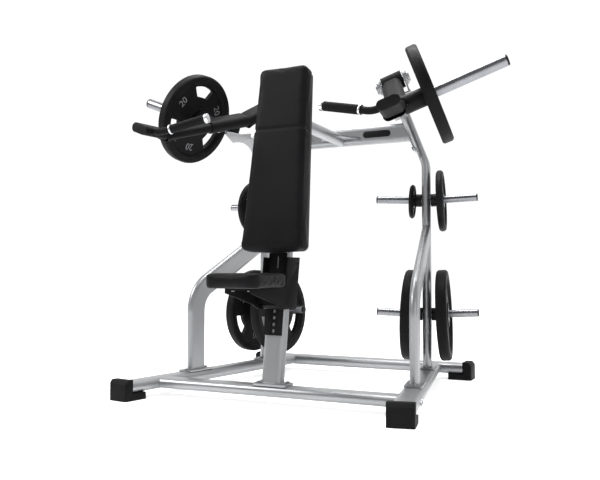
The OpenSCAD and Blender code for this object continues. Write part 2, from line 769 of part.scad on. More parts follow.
silver() rail();  // rail_right
silver() left() rail();  // rail_left
silver() front_bar();  // front_crossbar
silver() rear_bar(false);  // rear_crossbar
black() both() foot(rail_w, rail_t);  // front_feet
black() for (s = [0, 1]) mirror([s, 0, 0])  // rear_feet
  translate([rear_half, rear_y, 0]) rotate(90) foot(rear_bar_w, rear_bar_t);
silver() side() brace();  // brace_right
silver() left() side() brace();  // brace_left
silver() side() upright();  // upright_right
silver() left() side() upright();  // upright_left
silver() {  // base_plates
  both() side_base_plate(brace_y, brace_plate);
  both() side_base_plate(up_y, up_plate);
  post_plate();
}
steel() frame_bolts();
silver() seat_post();
black() seat_track();
silver() top_beam();
silver() both() beam_flange();  // beam_flanges
silver() pad_boom();
black() badge_plate();
black() back_pad_board();
black() back_pad();
silver() both() pivot_bracket();  // pivot_brackets
silver() both() bearing_housing();  // bearing_housings
silver() both() {  // stop_brackets
  stop_bracket();
  stop_shelf();
}
black() both() stop_bumper();  // stop_bumpers
steel() both() storage_pegs_side();  // storage_pegs
black() both() storage_fittings_side();  // storage_fittings
black() arm();  // arm_right
black() left() arm();  // arm_left
black() arm_caps();  // arm_caps_right
black() left() arm_caps();  // arm_caps_left
steel() pivot_shaft();  // pivot_shaft_right
steel() left() pivot_shaft();  // pivot_shaft_left
steel() load_peg();  // load_peg_right
steel() left() load_peg();  // load_peg_left
black() load_fittings();  // load_fittings_right
black() left() load_fittings();  // load_fittings_left
black() handle();  // handle_right
black() left() handle();  // handle_left
black() grip();  // grip_right
black() left() grip();  // grip_left
steel() grip_rings();  // grip_rings_right
steel() left() grip_rings();  // grip_rings_left
black() arm_disc();  // arm_disc_right
black() left() arm_disc();  // arm_disc_left
black() side()  // lower_outer_disc_right
  peg_out(peg_z1) stored(disc_d, disc_t, true);
black() side()  // lower_inner_disc_right
  peg_in(peg_z1) stored(disc_d, disc_t, true);
black() side()  // upper_outer_disc_right
  peg_out(peg_z2) stored(mid_d, mid_t, false);
black() side()  // upper_inner_disc_right
  peg_in(peg_z2) stored(small_d, small_t, false);
black() left() side()  // lower_outer_disc_left
  peg_out(peg_z1) stored(disc_d, disc_t, true);
black() left() side()  // lower_inner_disc_left
  peg_in(peg_z1) stored(disc_d, disc_t, true);
black() left() side()  // upper_outer_disc_left
  peg_out(peg_z2) stored(mid_d, mid_t, false);
black() left() side()  // upper_inner_disc_left
  peg_in(peg_z2) stored(small_d, small_t, false);
black() seat_carriage();
black() seat_board();
black() seat_pad();
steel() seat_bolts();
black() rear_roller();
black() front_roller();
black() pull_pin();
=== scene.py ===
"""Looks of a plate-loaded seated press: upholstery, rubber-coated plates, grips, feet, welds and finishes."""

import json
import math

import bpy
from mathutils import Matrix, Vector


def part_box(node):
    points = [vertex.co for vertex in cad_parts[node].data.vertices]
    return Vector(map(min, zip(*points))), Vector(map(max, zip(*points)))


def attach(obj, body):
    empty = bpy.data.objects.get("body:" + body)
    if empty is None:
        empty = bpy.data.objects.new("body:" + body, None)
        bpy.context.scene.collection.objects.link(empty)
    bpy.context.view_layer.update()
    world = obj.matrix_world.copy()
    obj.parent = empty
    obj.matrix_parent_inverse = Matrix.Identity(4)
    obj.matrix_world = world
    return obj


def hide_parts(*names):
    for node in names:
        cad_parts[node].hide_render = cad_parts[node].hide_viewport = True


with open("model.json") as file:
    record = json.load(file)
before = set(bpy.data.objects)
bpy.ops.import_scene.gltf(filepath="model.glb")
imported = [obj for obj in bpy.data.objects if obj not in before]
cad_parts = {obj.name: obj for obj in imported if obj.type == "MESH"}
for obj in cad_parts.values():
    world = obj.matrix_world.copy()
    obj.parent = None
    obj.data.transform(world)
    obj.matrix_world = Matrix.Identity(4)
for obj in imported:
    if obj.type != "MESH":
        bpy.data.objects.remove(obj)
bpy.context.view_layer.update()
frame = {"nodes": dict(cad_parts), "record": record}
nodes = frame["nodes"]
record = frame["record"]
joints = {joint["name"]: joint for joint in record["behaviour"]["joints"]}
SIDES = (("right", 1), ("left", -1))

# ---------- Sizes and places, in metres and degrees ----------

DISC_R = 0.225                  # 20 kg plate
DISC_T = 0.052
BORE_R = 0.0253
SLOT_IN, SLOT_OUT = 0.114, 0.172            # nearest and farthest edge of a grip slot
SLOT_TURNS = (0, 120, 240)
CUTTER_H = 0.2                  # height of the body that cuts a slot
MERGE = 0.00001                 # points nearer than this are one point
CAD_MERGE = 0.00002             # the same, for points that come from the CAD

PAD_T = 0.072                   # thickness, length and corner of the back pad
BACK_LENGTH = 0.84
BACK_CORNER = 0.026
BACK_LOW, BACK_HIGH = 0.305, 0.245          # width of the back pad at its foot and its head
BACK_SEAM = 0.546               # height of the sewn seam above the back pad's foot
SEAT_FRONT, SEAT_REAR = 0.240, 0.196        # width of the seat pad at its front and its rear
SEAT_CORNER = 0.034
PAD_SHRINK = 0.003              # the block starts this much inside its place, because it swells
PAD_EDGE = 0.009
PAD_VOXEL = 0.0055
SIM_FRAMES = 20
VINYL_CLOTH = {"quality": 5, "mass": 0.3, "tension_stiffness": 60, "compression_stiffness": 60,
               "shear_stiffness": 40, "bending_stiffness": 12, "use_pressure": True,
               "uniform_pressure_force": 4}
SEAM_DEPTH, SEAM_WIDTH = 0.0055, 0.010
SEAM_FLOOR = 0.004              # the seam stops this far above the back of the pad
STITCH_PITCH, STITCH_LENGTH = 0.0062, 0.0046
STITCH_ROW = 0.008              # from the seam to each row of stitches
THREAD_R = 0.0005

WELD_Z = 0.0895                 # top of the base plates
WELD_R = 0.0032
RIPPLE, RIPPLE_RATE = 0.0004, 900           # height of a weld's ripples, and radians per metre

CAMERA_AT = Vector((1.405, -3.078, 0.5615))
CAMERA_YAW, CAMERA_PITCH = 25.21, 2.51
CAMERA_LENS, CAMERA_SENSOR = 42.78, 36      # millimetres
LIGHTS_AIM = Vector((0, 0, 0.8))
NEAR_DARK, FAR_BRIGHT = 0.26, 1.05          # world strength in front of the machine and behind it
FLOOR_SIZE = 400


def turn(degrees, axis):
    return Matrix.Rotation(math.radians(degrees), 4, axis)


def axes_at(place, x, z):
    """Matrix whose x and z point along the given directions, with its origin at place."""
    x, z = Vector(x).normalized(), Vector(z).normalized()
    y = z.cross(x).normalized()
    z = x.cross(y)
    turned = Matrix((x, y, z)).transposed().to_4x4()
    return Matrix.Translation(place) @ turned


def node_middle(name):
    low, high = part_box(name)
    return (Vector(low) + Vector(high)) / 2


# ---------- Mesh helpers ----------


def clear_selection():
    if bpy.context.object and bpy.context.object.mode != "OBJECT":
        bpy.ops.object.mode_set(mode="OBJECT")
    bpy.ops.object.select_all(action="DESELECT")


def make_active(piece):
    clear_selection()
    piece.select_set(True)
    bpy.context.view_layer.objects.active = piece


def new_piece(name):
    """Names the object that an operator has just added."""
    piece = bpy.context.object
    piece.name = name
    piece.data.name = name
    return piece


def object_mode():
    bpy.ops.object.mode_set(mode="OBJECT")


def modify(piece, kind, **settings):
    """Adds a modifier and applies it."""
    make_active(piece)
    modifier = piece.modifiers.new(kind.lower(), kind)
    for key, value in settings.items():
        setattr(modifier, key, value)
    bpy.ops.object.modifier_apply(modifier=modifier.name)


def round_edges(piece, width, segments=2, angle=35):
    modify(piece, "BEVEL", width=width, segments=segments, limit_method="ANGLE",
           angle_limit=math.radians(angle), harden_normals=False)


def smooth(piece, angle=35):
    make_active(piece)
    bpy.ops.object.shade_smooth_by_angle(angle=math.radians(angle))


def edit_all(piece):
    """Enters edit mode with everything selected."""
    make_active(piece)
    bpy.ops.object.mode_set(mode="EDIT")
    bpy.ops.mesh.select_all(action="SELECT")


def recalculate(piece):
    edit_all(piece)
    bpy.ops.mesh.remove_doubles(threshold=MERGE)
    bpy.ops.mesh.normals_make_consistent(inside=False)
    object_mode()


def piece_from(name, points, edges, faces):
    """New object made of the given points, edges and faces."""
    mesh = bpy.data.meshes.new(name)
    mesh.from_pydata(points, edges, faces)
    piece = bpy.data.objects.new(name, mesh)
    bpy.context.collection.objects.link(piece)
    return piece


def extruded(name, ring, height):
    """Closed prism that stands on an outline and rises along Z."""
    piece = piece_from(name, ring, [], [list(range(len(ring)))])
    edit_all(piece)
    bpy.ops.mesh.extrude_region_move(TRANSFORM_OT_translate={"value": (0, 0, height)})
    bpy.ops.mesh.select_all(action="SELECT")
    bpy.ops.mesh.normals_make_consistent(inside=False)
    object_mode()
    return piece


def apply_place(piece):
    make_active(piece)
    bpy.ops.object.transform_apply(location=True, rotation=True, scale=True)


def place(piece, matrix):
    """Moves the mesh itself, so that the object stays at the origin."""
    apply_place(piece)
    piece.data.transform(matrix)
    if matrix.determinant() < 0:
        piece.data.flip_normals()
    piece.data.update()


def copy_piece(piece, name):
    twin = piece.copy()
    twin.data = piece.data.copy()
    twin.name = name
    twin.data.name = name
    bpy.context.collection.objects.link(twin)
    return twin


def lathe(name, profile, steps=96):
    """Spins (radius, height) points round Z into a closed ring."""
    points = [(r, 0, z) for r, z in profile]
    edges = [(i, (i + 1) % len(points)) for i in range(len(points))]
    piece = piece_from(name, points, edges, [])
    edit_all(piece)
    bpy.ops.mesh.spin(steps=steps, angle=math.radians(360), center=(0, 0, 0), axis=(0, 0, 1))
    object_mode()
    recalculate(piece)
    return piece


def join(pieces, name):
    clear_selection()
    for piece in pieces:
        piece.select_set(True)
    bpy.context.view_layer.objects.active = pieces[0]
    bpy.ops.object.join()
    return new_piece(name)


def delete(piece):
    bpy.data.objects.remove(piece, do_unlink=True)


# ---------- Material helpers ----------


def colour(code):
    """sRGB hex code to a linear colour."""
    channels = [int(code[i:i + 2], 16) / 255 for i in (1, 3, 5)]
    linear = [c / 12.92 if c <= 0.04045 else ((c + 0.055) / 1.055) ** 2.4 for c in channels]
    return (*linear, 1.0)


def add_node(tree, kind, links=None, **settings):
    """Adds a node, with its settings, its input values and its input links."""
    made = tree.nodes.new("ShaderNode" + kind)
    for key, value in settings.items():
        setattr(made, key, value)
    for key, value in (links or {}).items():
        if isinstance(value, bpy.types.NodeSocket):
            tree.links.new(value, made.inputs[key])
        else:
            made.inputs[key].default_value = value
    return made


def new_material(name, **shader):
    """A principled material. Returns it with its tree, its shader and its object coordinates."""
    material = bpy.data.materials.new(name)
    material.use_nodes = True
    tree = material.node_tree
    tree.nodes.clear()
    surface = add_node(tree, "BsdfPrincipled", shader)
    add_node(tree, "OutputMaterial", {"Surface": surface.outputs["BSDF"]})
    where = add_node(tree, "TexCoord").outputs["Object"]
    return material, tree, surface, where


def ramp(tree, source, low, high, low_at=0.0, high_at=1.0):
    made = add_node(tree, "ValToRGB", {"Fac": source})
    made.color_ramp.elements[0].position = low_at
    made.color_ramp.elements[0].color = low
    made.color_ramp.elements[1].position = high_at
    made.color_ramp.elements[1].color = high
    return made.outputs["Color"]


def grey(value):
    return (value, value, value, 1.0)


def tint(tree, surface, pattern, dark, light, low_at=0.3, high_at=0.7):
    """Base colour that follows a pattern between two colours."""
    tone = ramp(tree, pattern, colour(dark), colour(light), low_at, high_at)
    tree.links.new(tone, surface.inputs["Base Color"])


def roughen(tree, surface, pattern, low, high):
    """Roughness that follows a pattern between two values."""
    tree.links.new(ramp(tree, pattern, grey(low), grey(high), 0.3, 0.7), surface.inputs["Roughness"])


def speckle(tree, where, size, detail=2.0):
    """Noise whose grains are about this many metres across."""
    return add_node(tree, "TexNoise", {"Vector": where, "Scale": 0.5 / size, "Detail": detail}).outputs["Fac"]


def bump(tree, surface, height, depth, strength=1.0):
    made = add_node(tree, "Bump", {"Height": height, "Distance": depth, "Strength": strength})
    tree.links.new(made.outputs["Normal"], surface.inputs["Normal"])


def silver_powder_coat():
    """Polyester powder coat with aluminium flake: satin, with a faint orange peel."""
    material, tree, surface, where = new_material(
        "silver_powder_coat", Metallic=0.8, **{"Coat Weight": 0.08, "Coat Roughness": 0.35})
    flake = speckle(tree, where, 0.0009, 1.0)
    drift = speckle(tree, where, 0.12)
    tone = ramp(tree, flake, colour("#97989A"), colour("#A5A6A8"), 0.35, 0.65)
    shade = add_node(tree, "MixRGB", {"Fac": drift, "Color1": tone, "Color2": colour("#9C9D9F")})
    tree.links.new(shade.outputs["Color"], surface.inputs["Base Color"])
    roughen(tree, surface, drift, 0.34, 0.42)
    bump(tree, surface, speckle(tree, where, 0.003), 0.00005, 0.4)
    return material


def black_powder_coat():
    """Fine-texture black powder coat: low sheen, with a sandy grain."""
    material, tree, surface, where = new_material("black_powder_coat", **{"Specular IOR Level": 0.08})
    grain = speckle(tree, where, 0.0012, 3.0)
    drift = speckle(tree, where, 0.09)
    tint(tree, surface, drift, "#0C0C0D", "#131314")
    roughen(tree, surface, grain, 0.5, 0.66)
    bump(tree, surface, grain, 0.00015, 0.5)
    return material


def hard_chrome():
    """Polished tube with hard chrome: fine rings left by centreless grinding."""
    material, tree, surface, where = new_material("hard_chrome", Metallic=1.0)
    rings = speckle(tree, where, 0.03, 3.0)
    tint(tree, surface, rings, "#85868A", "#909195")
    roughen(tree, surface, rings, 0.24, 0.32)
    return material


def zinc_plate():
    """Bright zinc on hex bolts: slightly cloudy, lighter and darker at random."""
    material, tree, surface, where = new_material("zinc_plate", Metallic=1.0)
    cloud = speckle(tree, where, 0.006, 4.0)
    tint(tree, surface, cloud, "#85878B", "#B4B6BA")
    roughen(tree, surface, cloud, 0.3, 0.48)
    bump(tree, surface, cloud, 0.00005, 0.4)
    return material


def moulded_rubber():
    """Moulded natural rubber: dull, with a fine pebble and dusty high spots."""
    material, tree, surface, where = new_material("moulded_rubber", **{"Specular IOR Level": 0.1})
    pebble = speckle(tree, where, 0.0015, 3.0)
    dust = speckle(tree, where, 0.05, 5.0)
    tint(tree, surface, dust, "#0F0F10", "#19191A", 0.4, 0.75)
    roughen(tree, surface, dust, 0.55, 0.72)
    bump(tree, surface, pebble, 0.0002, 0.5)
    return material


def plate_rubber():
    """Virgin rubber over cast iron: satin skin with mould flow and slight scuffing."""
    material, tree, surface, where = new_material("plate_rubber", **{"Specular IOR Level": 0.1})
    flow = speckle(tree, where, 0.03, 6.0)
    fine = speckle(tree, where, 0.0014, 2.0)
    tint(tree, surface, flow, "#0C0C0D", "#141415", 0.35, 0.7)
    roughen(tree, surface, flow, 0.46, 0.62)
    bump(tree, surface, fine, 0.00018, 0.45)
    return material


def grained_vinyl():
    """Upholstery vinyl: embossed leather grain of small cells, satin wear layer."""
    material, tree, surface, where = new_material("grained_vinyl", **{"Specular IOR Level": 0.1})
    cells = add_node(tree, "TexVoronoi", {"Vector": where, "Scale": 420.0},
                     feature="DISTANCE_TO_EDGE").outputs["Distance"]
    pores = speckle(tree, where, 0.004, 4.0)
    hand = speckle(tree, where, 0.14, 2.0)
    grain = add_node(tree, "Math", {0: cells, 1: pores}, operation="ADD").outputs[0]
    tint(tree, surface, hand, "#0B0B0D", "#121214")
    roughen(tree, surface, pores, 0.44, 0.6)
    bump(tree, surface, grain, 0.0005, 0.35)
    return material


def black_plastic():
    """Injection-moulded nylon: spark-eroded matt texture."""
    material, tree, surface, where = new_material("black_plastic", IOR=1.53, **{"Specular IOR Level": 0.14})
    spark = speckle(tree, where, 0.0008, 2.0)
    drift = speckle(tree, where, 0.03)
    tint(tree, surface, drift, "#0E0E0F", "#151516")
    roughen(tree, surface, spark, 0.38, 0.52)
    bump(tree, surface, spark, 0.0001, 0.4)
    return material


def anodised_aluminium():
    """Turned and satin-anodised aluminium: even, with faint lathe lines."""
    material, tree, surface, where = new_material("anodised_aluminium", Metallic=1.0)
    lines = speckle(tree, where, 0.0007, 2.0)
    tint(tree, surface, lines, "#C6C8CB", "#DADBDD")
    roughen(tree, surface, lines, 0.3, 0.42)
    bump(tree, surface, lines, 0.00004, 0.4)
    return material


def black_film_plywood():
    """Phenolic-faced plywood: dark brown-black film with a faint wood figure."""
    material, tree, surface, where = new_material("black_film_plywood", IOR=1.5)
    stretched = add_node(tree, "Mapping", {"Vector": where, "Scale": (9, 1, 1)}).outputs[0]
    figure = speckle(tree, stretched, 0.05, 5.0)
    tint(tree, surface, figure, "#1B1815", "#27221E")
    roughen(tree, surface, figure, 0.45, 0.6)
    bump(tree, surface, figure, 0.0001, 0.4)
    return material


def numeral_paint():
    """Pad-printed grey ink on raised numerals, slightly rubbed."""
    material, tree, surface, where = new_material("numeral_paint", Roughness=0.6)
    rub = speckle(tree, where, 0.004, 5.0)
    tint(tree, surface, rub, "#5E5F62", "#8A8B8E")
    bump(tree, surface, rub, 0.00005, 0.3)
    return material


def studio_floor():
    """Seamless white studio floor."""
    material, tree, surface, where = new_material(
        "studio_floor", Roughness=0.6, **{"Emission Color": (1, 1, 1, 1), "Emission Strength": 0.55})
    tone = ramp(tree, speckle(tree, where, 0.4), colour("#FDFDFD"), colour("#FFFFFF"))
    tree.links.new(tone, surface.inputs["Base Color"])
    return material


MATERIALS = {
    "silver_paint": silver_powder_coat(),
    "black_paint": black_powder_coat(),
    "steel": zinc_plate(),
    "chrome": hard_chrome(),
    "rubber": moulded_rubber(),
    "vinyl": grained_vinyl(),
    "plywood": black_film_plywood(),
    "plastic": black_plastic(),
    "aluminium": anodised_aluminium(),
    "disc_rubber": plate_rubber(),
}
SLOT_OF = {part["node"]: part["material_slot"] for part in record["subparts"]}
BODY_OF = {name: body for body, names in record["behaviour"]["bodies"].items() for name in names}


def finish_with(piece, material):
    piece.data.materials.clear()
    piece.data.materials.append(material)


def coat_cad_nodes():
    for name, part in nodes.items():
        for slot in part.material_slots:
            slot.material = MATERIALS[SLOT_OF[name]]


def adopt(piece, node):
    """The piece rides with the CAD node's body and takes its finish."""
    finish_with(piece, MATERIALS[SLOT_OF[node]])
    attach(piece, BODY_OF[node])


# ---------- Weight plates ----------

DISC_JOINT = {joint["child"]: name for name, joint in joints.items() if "disc_slide" in name}
# Radius, thickness, whether it has grip slots, and its numeral
DISC_SIZES = {"arm": (DISC_R, DISC_T, True, "20"), "lower": (DISC_R, DISC_T, True, "20"),
              "upper_outer": (0.1535, 0.032, False, "10"), "upper_inner": (0.086, 0.022, False, "5")}
WEB_SHARE = 0.22                # from a plate's middle plane to its web's face, per unit of thickness


def slot_cutter(turned):
    """Rounded wedge that cuts one grip slot through a plate."""
    steps = 10
    spread_out, spread_in = 23.0, 18.5
    outer = [(SLOT_OUT, -spread_out + 2 * spread_out * i / steps) for i in range(steps + 1)]
    inner = [(SLOT_IN, spread_in - 2 * spread_in * i / steps) for i in range(steps + 1)]
    ring = [(r * math.cos(math.radians(a)), r * math.sin(math.radians(a)), -CUTTER_H / 2)
            for r, a in outer + inner]
    cutter = extruded("slot_cutter", ring, CUTTER_H)
    modify(cutter, "BEVEL", width=0.007, segments=4, limit_method="ANGLE",
           angle_limit=math.radians(50))
    cutter.data.transform(turn(turned, "Z"))
    return cutter


def grip_plate(name, radius, thickness, slots):
    """Rubber-coated plate with its axis on Z, a raised rim and hub, and grip slots where asked."""
    half = thickness / 2
    web = thickness * WEB_SHARE
    hub_top = half * 0.84
    eye = BORE_R + 0.004
    hub = BORE_R + radius * 0.15
    slope = 0.004
    rim, rim_foot = radius * 0.84, radius * 0.80
    edge_in, edge_down = radius - 0.007, half - 0.009
    front = [(radius, edge_down), (edge_in, half), (rim, half), (rim_foot, web),
             (hub + slope, web), (hub, hub_top), (eye, hub_top)]
    profile = [(r, -z) for r, z in reversed(front)] + front
    plate = lathe(name, profile)
    round_edges(plate, 0.0025, 3, 18)
    if slots:
        for turned in SLOT_TURNS:
            cutter = slot_cutter(turned)
            modify(plate, "BOOLEAN", object=cutter, operation="DIFFERENCE", solver="EXACT")
            delete(cutter)
        plate = join([plate] + slot_lips(thickness * 0.5), name)
    smooth(plate, 40)
    return plate


def slot_lips(width):
    """Rounded rubber bead round each slot, where the hand grips."""
    lips = []
    for turned in SLOT_TURNS:
        outline = slot_cutter(turned)
        outline.data.transform(Matrix.Scale(width / CUTTER_H, 4, (0, 0, 1)))
        # Only the side wall stays, without the two flat ends
        make_active(outline)
        bpy.ops.object.mode_set(mode="EDIT")
        bpy.ops.mesh.select_mode(type="FACE")
        bpy.ops.mesh.select_all(action="DESELECT")
        object_mode()
        for face in outline.data.polygons:
            face.select = abs(face.normal.z) > 0.7
        bpy.ops.object.mode_set(mode="EDIT")
        bpy.ops.mesh.delete(type="FACE")
        object_mode()
        modify(outline, "SOLIDIFY", thickness=0.003, offset=0.0)
        round_edges(outline, 0.0012, 2, 60)
        lips.append(outline)
    return lips


def bore_ring(name, thickness):
    """Turned steel bush in the plate's bore."""
    half = thickness / 2 * 0.86
    outer = BORE_R + 0.005
    ring = lathe(name, [(BORE_R, -half), (outer, -half), (outer, half), (BORE_R, half)], 64)
    round_edges(ring, 0.0008, 2)
    smooth(ring, 40)
    return ring


def numeral(name, text, size, depth):
    """Raised numeral, lying on XY with its foot towards -Y."""
    clear_selection()
    bpy.ops.object.text_add()
    made = bpy.context.object
    made.data.body = text
    made.data.size = size
    made.data.align_x = "CENTER"
    made.data.align_y = "CENTER"
    made.data.extrude = depth
    made.data.resolution_u = 4
    bpy.ops.object.convert(target="MESH")
    piece = new_piece(name)
    recalculate(piece)
    return piece


def plate_numerals(name, text, radius, height, size):
    """The same numeral three times round a face, between the slots, on both faces."""
    made = []
    for face in (1, -1):
        for turned in SLOT_TURNS:
            piece = numeral(name, text, size, 0.0008)
            flip = turn(0 if face > 0 else 180, "X")
            around = turn(turned + 60, "Z") @ Matrix.Translation((radius, 0, 0)) @ turn(-90, "Z")
            place(piece, flip @ Matrix.Translation((0, 0, height)) @ around)
            made.append(piece)
    return join(made, name)


def up_across(axis):
    """World up, made square to the axis."""
    up = Vector((0, 0, 1))
    return (up - axis * up.dot(axis)).normalized()


def disc_frame(node):
    """Frame of a plate from its slide joint: z along the peg, x up."""
    axis = Vector(joints[DISC_JOINT[node]]["axis"])
    return axes_at(node_middle(node), up_across(axis), axis)


def make_plates():
    originals = {}
    for kind, (radius, thickness, slots, text) in DISC_SIZES.items():
        plate = grip_plate("plate_" + kind, radius, thickness, slots)
        finish_with(plate, MATERIALS["disc_rubber"])
        ring = bore_ring("ring_" + kind, thickness)
        finish_with(ring, MATERIALS["steel"])
        size = 0.05 if slots else radius * 0.26
        marks = plate_numerals("numerals_" + kind, text, radius * 0.62, thickness * WEB_SHARE, size)
        finish_with(marks, NUMERAL_PAINT)
        originals[kind] = (plate, ring, marks)
    for node in DISC_JOINT:
        kind = next(key for key in DISC_SIZES if node.startswith(key))
        spot = disc_frame(node)
        for source, label in zip(originals[kind], ("plate", "bore_ring", "numerals")):
            piece = copy_piece(source, f"{node}_{label}")
            place(piece, spot)
            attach(piece, BODY_OF[node])
            if label == "plate":
                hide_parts(node)
    for sources in originals.values():
        for source in sources:
            delete(source)


# ---------- Upholstery ----------


def tapered_block(name, width_low, width_high, length, thickness, corner):
    """Rounded slab: x across, y along its length from 0, z from 0 to its thickness."""
    steps = 8
    ring = []
    corners = ((width_low / 2, 0, -90), (width_high / 2, length, 0),
               (-width_high / 2, length, 90), (-width_low / 2, 0, 180))
    for x, y, start in corners:
        cx = x - math.copysign(corner, x)
        cy = y + corner if y == 0 else y - corner
        for i in range(steps + 1):
            a = math.radians(start + 90 * i / steps)
            ring.append((cx + corner * math.cos(a), cy + corner * math.sin(a), 0))
    return extruded(name, ring, thickness)


def relax(cushion):
    modify(cushion, "SMOOTH", factor=0.5, iterations=6)


def puff(cushion, cap):
    """Inflates a block like foam under stretched vinyl, with every point held within cap of its start."""
    modify(cushion, "REMESH", mode="VOXEL", voxel_size=PAD_VOXEL)
    start = [v.co.copy() for v in cushion.data.vertices]
    make_active(cushion)
    cloth = cushion.modifiers.new("cloth", "CLOTH")
    for key, value in VINYL_CLOTH.items():
        setattr(cloth.settings, key, value)
    cloth.settings.effector_weights.gravity = 0
    cloth.collision_settings.use_collision = False
    cloth.point_cache.frame_end = SIM_FRAMES
    for step in range(1, SIM_FRAMES + 1):
        bpy.context.scene.frame_set(step)
    bpy.ops.object.modifier_apply(modifier=cloth.name)
    bpy.context.scene.frame_set(1)
    for vertex, home in zip(cushion.data.vertices, start):
        moved = vertex.co - home
        if moved.length > cap:
            vertex.co = home + moved * (cap / moved.length)


def flatten_back(cushion, level):
    """Keeps the side that rests on the board flat."""
    for vertex in cushion.data.vertices:
        vertex.co.z = max(vertex.co.z, level)


def sew_groove(cushion, along):
    """Pulls a seam into the surface where the cover is sewn across, facing +Z and the sides."""
    for vertex in cushion.data.vertices:
        away = abs(vertex.co.y - along) / SEAM_WIDTH
        if away < 1 and vertex.co.z > SEAM_FLOOR:
            vertex.co = vertex.co - vertex.normal * (SEAM_DEPTH * (1 - away * away) ** 2)


def stitch_rows(pad, along, reach, name):
    """Two rows of thread laid on the cover, one on each side of a seam."""
    bpy.context.view_layer.update()
    spots = []
    for row in (along - STITCH_ROW, along + STITCH_ROW):
        for i in range(int(2 * reach / STITCH_PITCH) + 1):
            above = Vector((i * STITCH_PITCH - reach, row, 1))
            hit, point, normal, _ = pad.ray_cast(above, Vector((0, 0, -1)))
            if hit:
                spots.append(axes_at(point, (1, 0, 0), normal))
    clear_selection()
    bpy.ops.mesh.primitive_uv_sphere_add(segments=8, ring_count=5, radius=THREAD_R)
    thread = new_piece(name)
    thread.data.transform(Matrix.Scale(STITCH_LENGTH / (2 * THREAD_R), 4, (1, 0, 0)))
    copies = []
    for spot in spots:
        stitch = copy_piece(thread, name + "_one")
        stitch.data.transform(spot)
        copies.append(stitch)
    delete(thread)
    rows = join(copies, name)
    smooth(rows, 60)
    return rows


def wrapped_pad(name, node, body_frame, sizes, seams, cap):
    """Foam pad under vinyl; sizes are its widths at both ends, length, thickness and corner radius."""
    low, high, length, thickness, corner = sizes
    pad = tapered_block(name, low - 2 * PAD_SHRINK, high - 2 * PAD_SHRINK, length - 2 * PAD_SHRINK,
                        thickness - 2 * PAD_SHRINK, corner)
    pad.data.transform(Matrix.Translation((0, PAD_SHRINK, PAD_SHRINK * 0.5)))
    round_edges(pad, PAD_EDGE, 3, 60)
    puff(pad, cap)
    flatten_back(pad, 0.0005)
    pad.data.update()
    relax(pad)
    for along in seams:
        sew_groove(pad, along)
    pad.data.update()
    modify(pad, "SUBSURF", levels=1, render_levels=1)
    for face in pad.data.polygons:
        face.use_smooth = True
    for along in seams:
        thread = stitch_rows(pad, along, low / 2 - 0.03, name + "_stitches")
        place(thread, body_frame)
        adopt(thread, node)
    place(pad, body_frame)
    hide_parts(node)
    adopt(pad, node)
    return pad


def make_back_pad():
    # The block's own y runs up the post, and its z faces forward, square to the post
    up = Vector(joints["seat_height"]["axis"])
    forward = Vector((0, -up.z, up.y))
    foot = node_middle("back_pad") - forward * (PAD_T / 2) - up * (BACK_LENGTH / 2)
    spot = Matrix.Translation(foot) @ Matrix((Vector((-1, 0, 0)), up, forward)).transposed().to_4x4()
    sizes = (BACK_LOW, BACK_HIGH, BACK_LENGTH, PAD_T, BACK_CORNER)
    wrapped_pad("back_pad_cover", "back_pad", spot, sizes, (BACK_SEAM,), cap=0.005)


def make_seat_pad():
    low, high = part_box("seat_pad")
    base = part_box("seat_board")[0][2]
    spot = Matrix.Translation((0, low[1], base))
    sizes = (SEAT_FRONT, SEAT_REAR, high[1] - low[1], high[2] - base, SEAT_CORNER)
    cover = wrapped_pad("seat_pad_cover", "seat_pad", spot, sizes, (), cap=0.003)
    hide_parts("seat_board")


# ---------- Rounded copies of pressed and moulded parts ----------

# Edge radius of each, in metres: rubber and plastic mouldings large, laser-cut steel small
EDGE_RADII = {
    "front_feet": 0.009, "rear_feet": 0.009, "arm_caps_right": 0.003, "arm_caps_left": 0.003,
    "base_plates": 0.0016, "beam_flanges": 0.0014, "stop_brackets": 0.0012, "badge_plate": 0.0012,
    "seat_carriage": 0.0012, "seat_track": 0.0010, "pivot_brackets": 0.0012,
    "load_fittings_right": 0.0025, "load_fittings_left": 0.0025, "storage_fittings": 0.0020,
    "stop_bumpers": 0.0025, "front_roller": 0.0020, "rear_roller": 0.0020,
}


def softened_copy(node, radius):
    """Copy of a CAD node with its edges rounded, which stands for the node."""
    source = nodes[node]
    piece = bpy.data.objects.new(node + "_rounded", source.data.copy())
    bpy.context.collection.objects.link(piece)
    edit_all(piece)
    bpy.ops.mesh.remove_doubles(threshold=CAD_MERGE)
    bpy.ops.mesh.dissolve_limited(angle_limit=math.radians(1.5))
    object_mode()
    round_edges(piece, radius, 3, 32)
    smooth(piece, 38)
    adopt(piece, node)
    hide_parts(node)


# ---------- Grips ----------

AXIS_STEPS = 30                 # rounds of power iteration that find a long node's direction


def long_axis(node, outward):
    """Middle, direction and length of a long node, with the direction turned to agree with outward."""
    points = [vertex.co for vertex in nodes[node].data.vertices]
    middle = sum(points, Vector()) / len(points)
    axis = Vector(outward).normalized()
    for _ in range(AXIS_STEPS):
        axis = sum(((p - middle) * (p - middle).dot(axis) for p in points), Vector()).normalized()
    reach = [(p - middle).dot(axis) for p in points]
    return middle + axis * (min(reach) + max(reach)) / 2, axis, max(reach) - min(reach)


